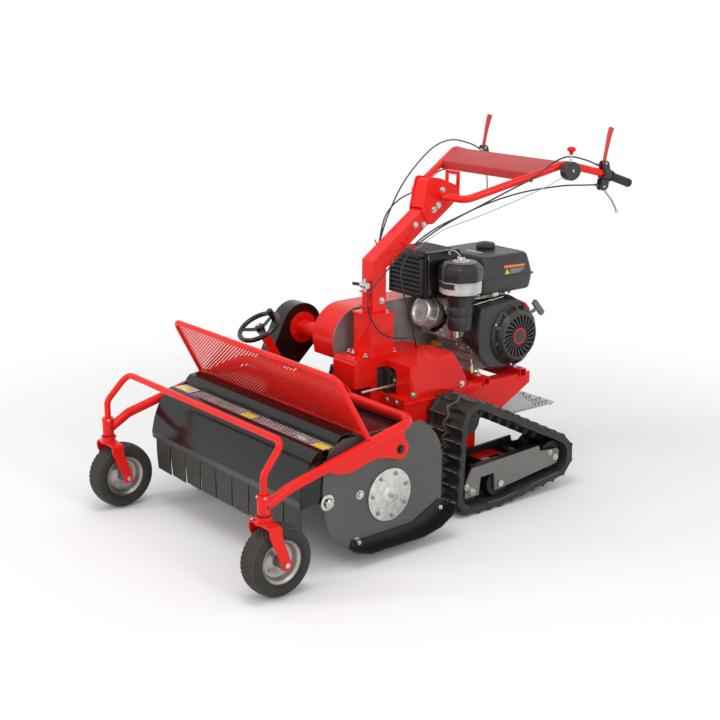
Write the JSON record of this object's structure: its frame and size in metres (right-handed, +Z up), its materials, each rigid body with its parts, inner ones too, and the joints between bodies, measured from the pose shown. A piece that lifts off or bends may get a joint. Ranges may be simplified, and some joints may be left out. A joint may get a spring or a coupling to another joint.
{
  "type": "hammer knife mower",
  "caption": "Walk-behind flail mower on rubber tracks, with a wide front deck on castor wheels, a petrol engine and a handlebar on a swivelling column.",
  "frame": {"origin": "centre of the bounding box at ground level", "axes": "+Y to the rear with the grips, -Y to the front with the deck, +Z up, +X to the machine's left"},
  "size_m": [1.075, 1.835, 1.3006],
  "materials": {
    "red_paint": "gloss",
    "black_paint": "gloss",
    "grey_paint": "satin",
    "rubber": "matte",
    "tyre": "matte",
    "zinc_plate": "galvanised",
    "bright_steel": "satin",
    "casting": "cast",
    "black_plastic": "moulded",
    "red_plastic": "moulded"
  },
  "bodies": {
    "machine": {"chassis_frame": "red_paint", "gearbox_housing": "red_paint", "footplate": "zinc_plate", "drive_cover": "red_paint", "track_belt_left": "rubber", "track_belt_right": "rubber", "track_frame_left": "grey_paint", "track_frame_right": "grey_paint", "column_base": "red_paint", "engine_block": "casting", "fan_shroud": "black_plastic", "fuel_tank": "black_plastic", "muffler_guard": "black_paint", "air_cleaner": "black_plastic", "belt_cover": "red_paint", "belt_cover_plate": "zinc_plate", "shaft_housing": "red_paint", "deck_belt_guard": "black_paint", "deck_side_left": "grey_paint", "deck_side_right": "grey_paint", "deck_hood": "black_paint", "flap_strip": "rubber", "deck_top": "black_paint", "bearing_cover": "zinc_plate", "height_adjuster": "red_paint"},
    "castor_frame": {"castor_frame": "red_paint", "bumper_bar": "red_paint", "debris_guard": "red_paint"},
    "castor_swivel_left": {"castor_fork_left": "red_paint"},
    "castor_swivel_right": {"castor_fork_right": "red_paint"},
    "castor_wheel_left": {"castor_tyre_left": "tyre", "castor_rim_left": "bright_steel"},
    "castor_wheel_right": {"castor_tyre_right": "tyre", "castor_rim_right": "bright_steel"},
    "rotor": {"rotor": "bright_steel"},
    "drive_shaft": {"drive_shaft": "bright_steel"},
    "sprocket_left": {"sprocket_left": "grey_paint"},
    "sprocket_right": {"sprocket_right": "grey_paint"},
    "front_idler_left": {"front_idler_left": "grey_paint"},
    "front_idler_right": {"front_idler_right": "grey_paint"},
    "rear_idler_left": {"rear_idler_left": "grey_paint"},
    "rear_idler_right": {"rear_idler_right": "grey_paint"},
    "column": {"upper_column": "red_paint", "cables_lower": "rubber"},
    "handlebar": {"handlebar": "red_paint", "grip_left": "rubber", "grip_right": "rubber", "control_clamp_left": "black_plastic", "control_clamp_right": "black_plastic", "throttle_box": "black_plastic", "cables_left": "rubber", "cables_right": "rubber"},
    "clutch_lever_left": {"clutch_lever_left": "red_plastic"},
    "clutch_lever_right": {"clutch_lever_right": "red_plastic"},
    "brake_lever_left": {"brake_lever_left": "bright_steel"},
    "brake_lever_right": {"brake_lever_right": "bright_steel"},
    "throttle_lever": {"throttle_lever": "red_plastic"},
    "recoil_handle": {"recoil_handle": "black_plastic"},
    "fuel_cap": {"fuel_cap": "black_plastic"},
    "handwheel": {"handwheel": "black_paint"}
  },
  "joints": [
    {"name": "castor_frame_tilt", "type": "hinge", "parent": "machine", "child": "castor_frame", "pos_m": [0, -0.308, 0.359], "axis": [-1, 0, 0], "range_deg": [0, 3.5]},
    {"name": "castor_swivel_left", "type": "hinge", "parent": "castor_frame", "child": "castor_swivel_left", "pos_m": [0.472, -0.845, 0.266], "axis": [0, 0, 1], "continuous": true},
    {"name": "castor_spin_left", "type": "hinge", "parent": "castor_swivel_left", "child": "castor_wheel_left", "pos_m": [0.472, -0.803, 0.1145], "axis": [1, 0, 0], "continuous": true},
    {"name": "sprocket_spin_left", "type": "hinge", "parent": "machine", "child": "sprocket_left", "pos_m": [0.2905, 0.125, 0.33], "axis": [1, 0, 0], "continuous": true},
    {"name": "front_idler_spin_left", "type": "hinge", "parent": "machine", "child": "front_idler_left", "pos_m": [0.2905, 0.112, 0.085], "axis": [1, 0, 0], "continuous": true},
    {"name": "rear_idler_spin_left", "type": "hinge", "parent": "machine", "child": "rear_idler_left", "pos_m": [0.2905, 0.525, 0.125], "axis": [1, 0, 0], "continuous": true},
    {"name": "castor_swivel_right", "type": "hinge", "parent": "castor_frame", "child": "castor_swivel_right", "pos_m": [-0.472, -0.845, 0.266], "axis": [0, 0, 1], "continuous": true},
    {"name": "castor_spin_right", "type": "hinge", "parent": "castor_swivel_right", "child": "castor_wheel_right", "pos_m": [-0.472, -0.803, 0.1145], "axis": [1, 0, 0], "continuous": true},
    {"name": "sprocket_spin_right", "type": "hinge", "parent": "machine", "child": "sprocket_right", "pos_m": [-0.2905, 0.125, 0.33], "axis": [1, 0, 0], "continuous": true},
    {"name": "front_idler_spin_right", "type": "hinge", "parent": "machine", "child": "front_idler_right", "pos_m": [-0.2905, 0.112, 0.085], "axis": [1, 0, 0], "continuous": true},
    {"name": "rear_idler_spin_right", "type": "hinge", "parent": "machine", "child": "rear_idler_right", "pos_m": [-0.2905, 0.525, 0.125], "axis": [1, 0, 0], "continuous": true},
    {"name": "rotor_spin", "type": "hinge", "parent": "machine", "child": "rotor", "pos_m": [0, -0.337, 0.206], "axis": [1, 0, 0], "continuous": true},
    {"name": "drive_shaft_spin", "type": "hinge", "parent": "machine", "child": "drive_shaft", "pos_m": [0, -0.078, 0.562], "axis": [1, 0, 0], "continuous": true},
    {"name": "column_swivel", "type": "hinge", "parent": "machine", "child": "column", "pos_m": [0, -0.036, 0.684], "axis": [0, 0, 1], "range_deg": [-20, 20], "deforming": ["cables_lower"]},
    {"name": "handlebar_tilt", "type": "hinge", "parent": "column", "child": "handlebar", "pos_m": [0, 0.20155, 1.02034], "axis": [1, 0, 0], "range_deg": [-8, 8], "deforming": ["cables_left", "cables_right"]},
    {"name": "clutch_lever_left", "type": "hinge", "parent": "handlebar", "child": "clutch_lever_left", "pos_m": [0.311, 0.776, 1.171], "axis": [-1, 0, 0], "range_deg": [0, 45], "stiffness_Nm_per_rad": 1, "springref_deg": -17.19},
    {"name": "brake_lever_left", "type": "hinge", "parent": "handlebar", "child": "brake_lever_left", "pos_m": [0.311, 0.77, 1.088], "axis": [1, 0, 0], "range_deg": [0, 25], "stiffness_Nm_per_rad": 1, "springref_deg": -17.19},
    {"name": "clutch_lever_right", "type": "hinge", "parent": "handlebar", "child": "clutch_lever_right", "pos_m": [-0.311, 0.776, 1.171], "axis": [-1, 0, 0], "range_deg": [0, 45], "stiffness_Nm_per_rad": 1, "springref_deg": -17.19},
    {"name": "brake_lever_right", "type": "hinge", "parent": "handlebar", "child": "brake_lever_right", "pos_m": [-0.311, 0.77, 1.088], "axis": [1, 0, 0], "range_deg": [0, 25], "stiffness_Nm_per_rad": 1, "springref_deg": -17.19},
    {"name": "throttle_turn", "type": "hinge", "parent": "handlebar", "child": "throttle_lever", "pos_m": [0.3165, 0.595, 1.158], "axis": [1, 0, 0], "range_deg": [-25, 25]},
    {"name": "recoil_pull", "type": "slide", "parent": "machine", "child": "recoil_handle", "axis": [0, 0.9368, 0.3499], "range_m": [0, 0.3], "stiffness_N_per_m": 60, "springref_m": -0.1},
    {"name": "fuel_cap_turn", "type": "hinge", "parent": "machine", "child": "fuel_cap", "pos_m": [0, 0.5, 0.846], "axis": [0, 0, 1], "range_deg": [0, 90]},
    {"name": "handwheel_turn", "type": "hinge", "parent": "machine", "child": "handwheel", "pos_m": [-0.37, -0.27, 0.59], "axis": [0, -0.5, 0.866], "range_deg": [0, 361]}
  ],
  "couplings": [
    {"joint": "handwheel_turn", "follows": "castor_frame_tilt", "ratio": 102.86},
    {"joint": "drive_shaft_spin", "follows": "rotor_spin", "ratio": 1},
    {"joint": "front_idler_spin_left", "follows": "sprocket_spin_left", "ratio": 1},
    {"joint": "rear_idler_spin_left", "follows": "sprocket_spin_left", "ratio": 0.9138},
    {"joint": "front_idler_spin_right", "follows": "sprocket_spin_right", "ratio": 1},
    {"joint": "rear_idler_spin_right", "follows": "sprocket_spin_right", "ratio": 0.9138}
  ]
}
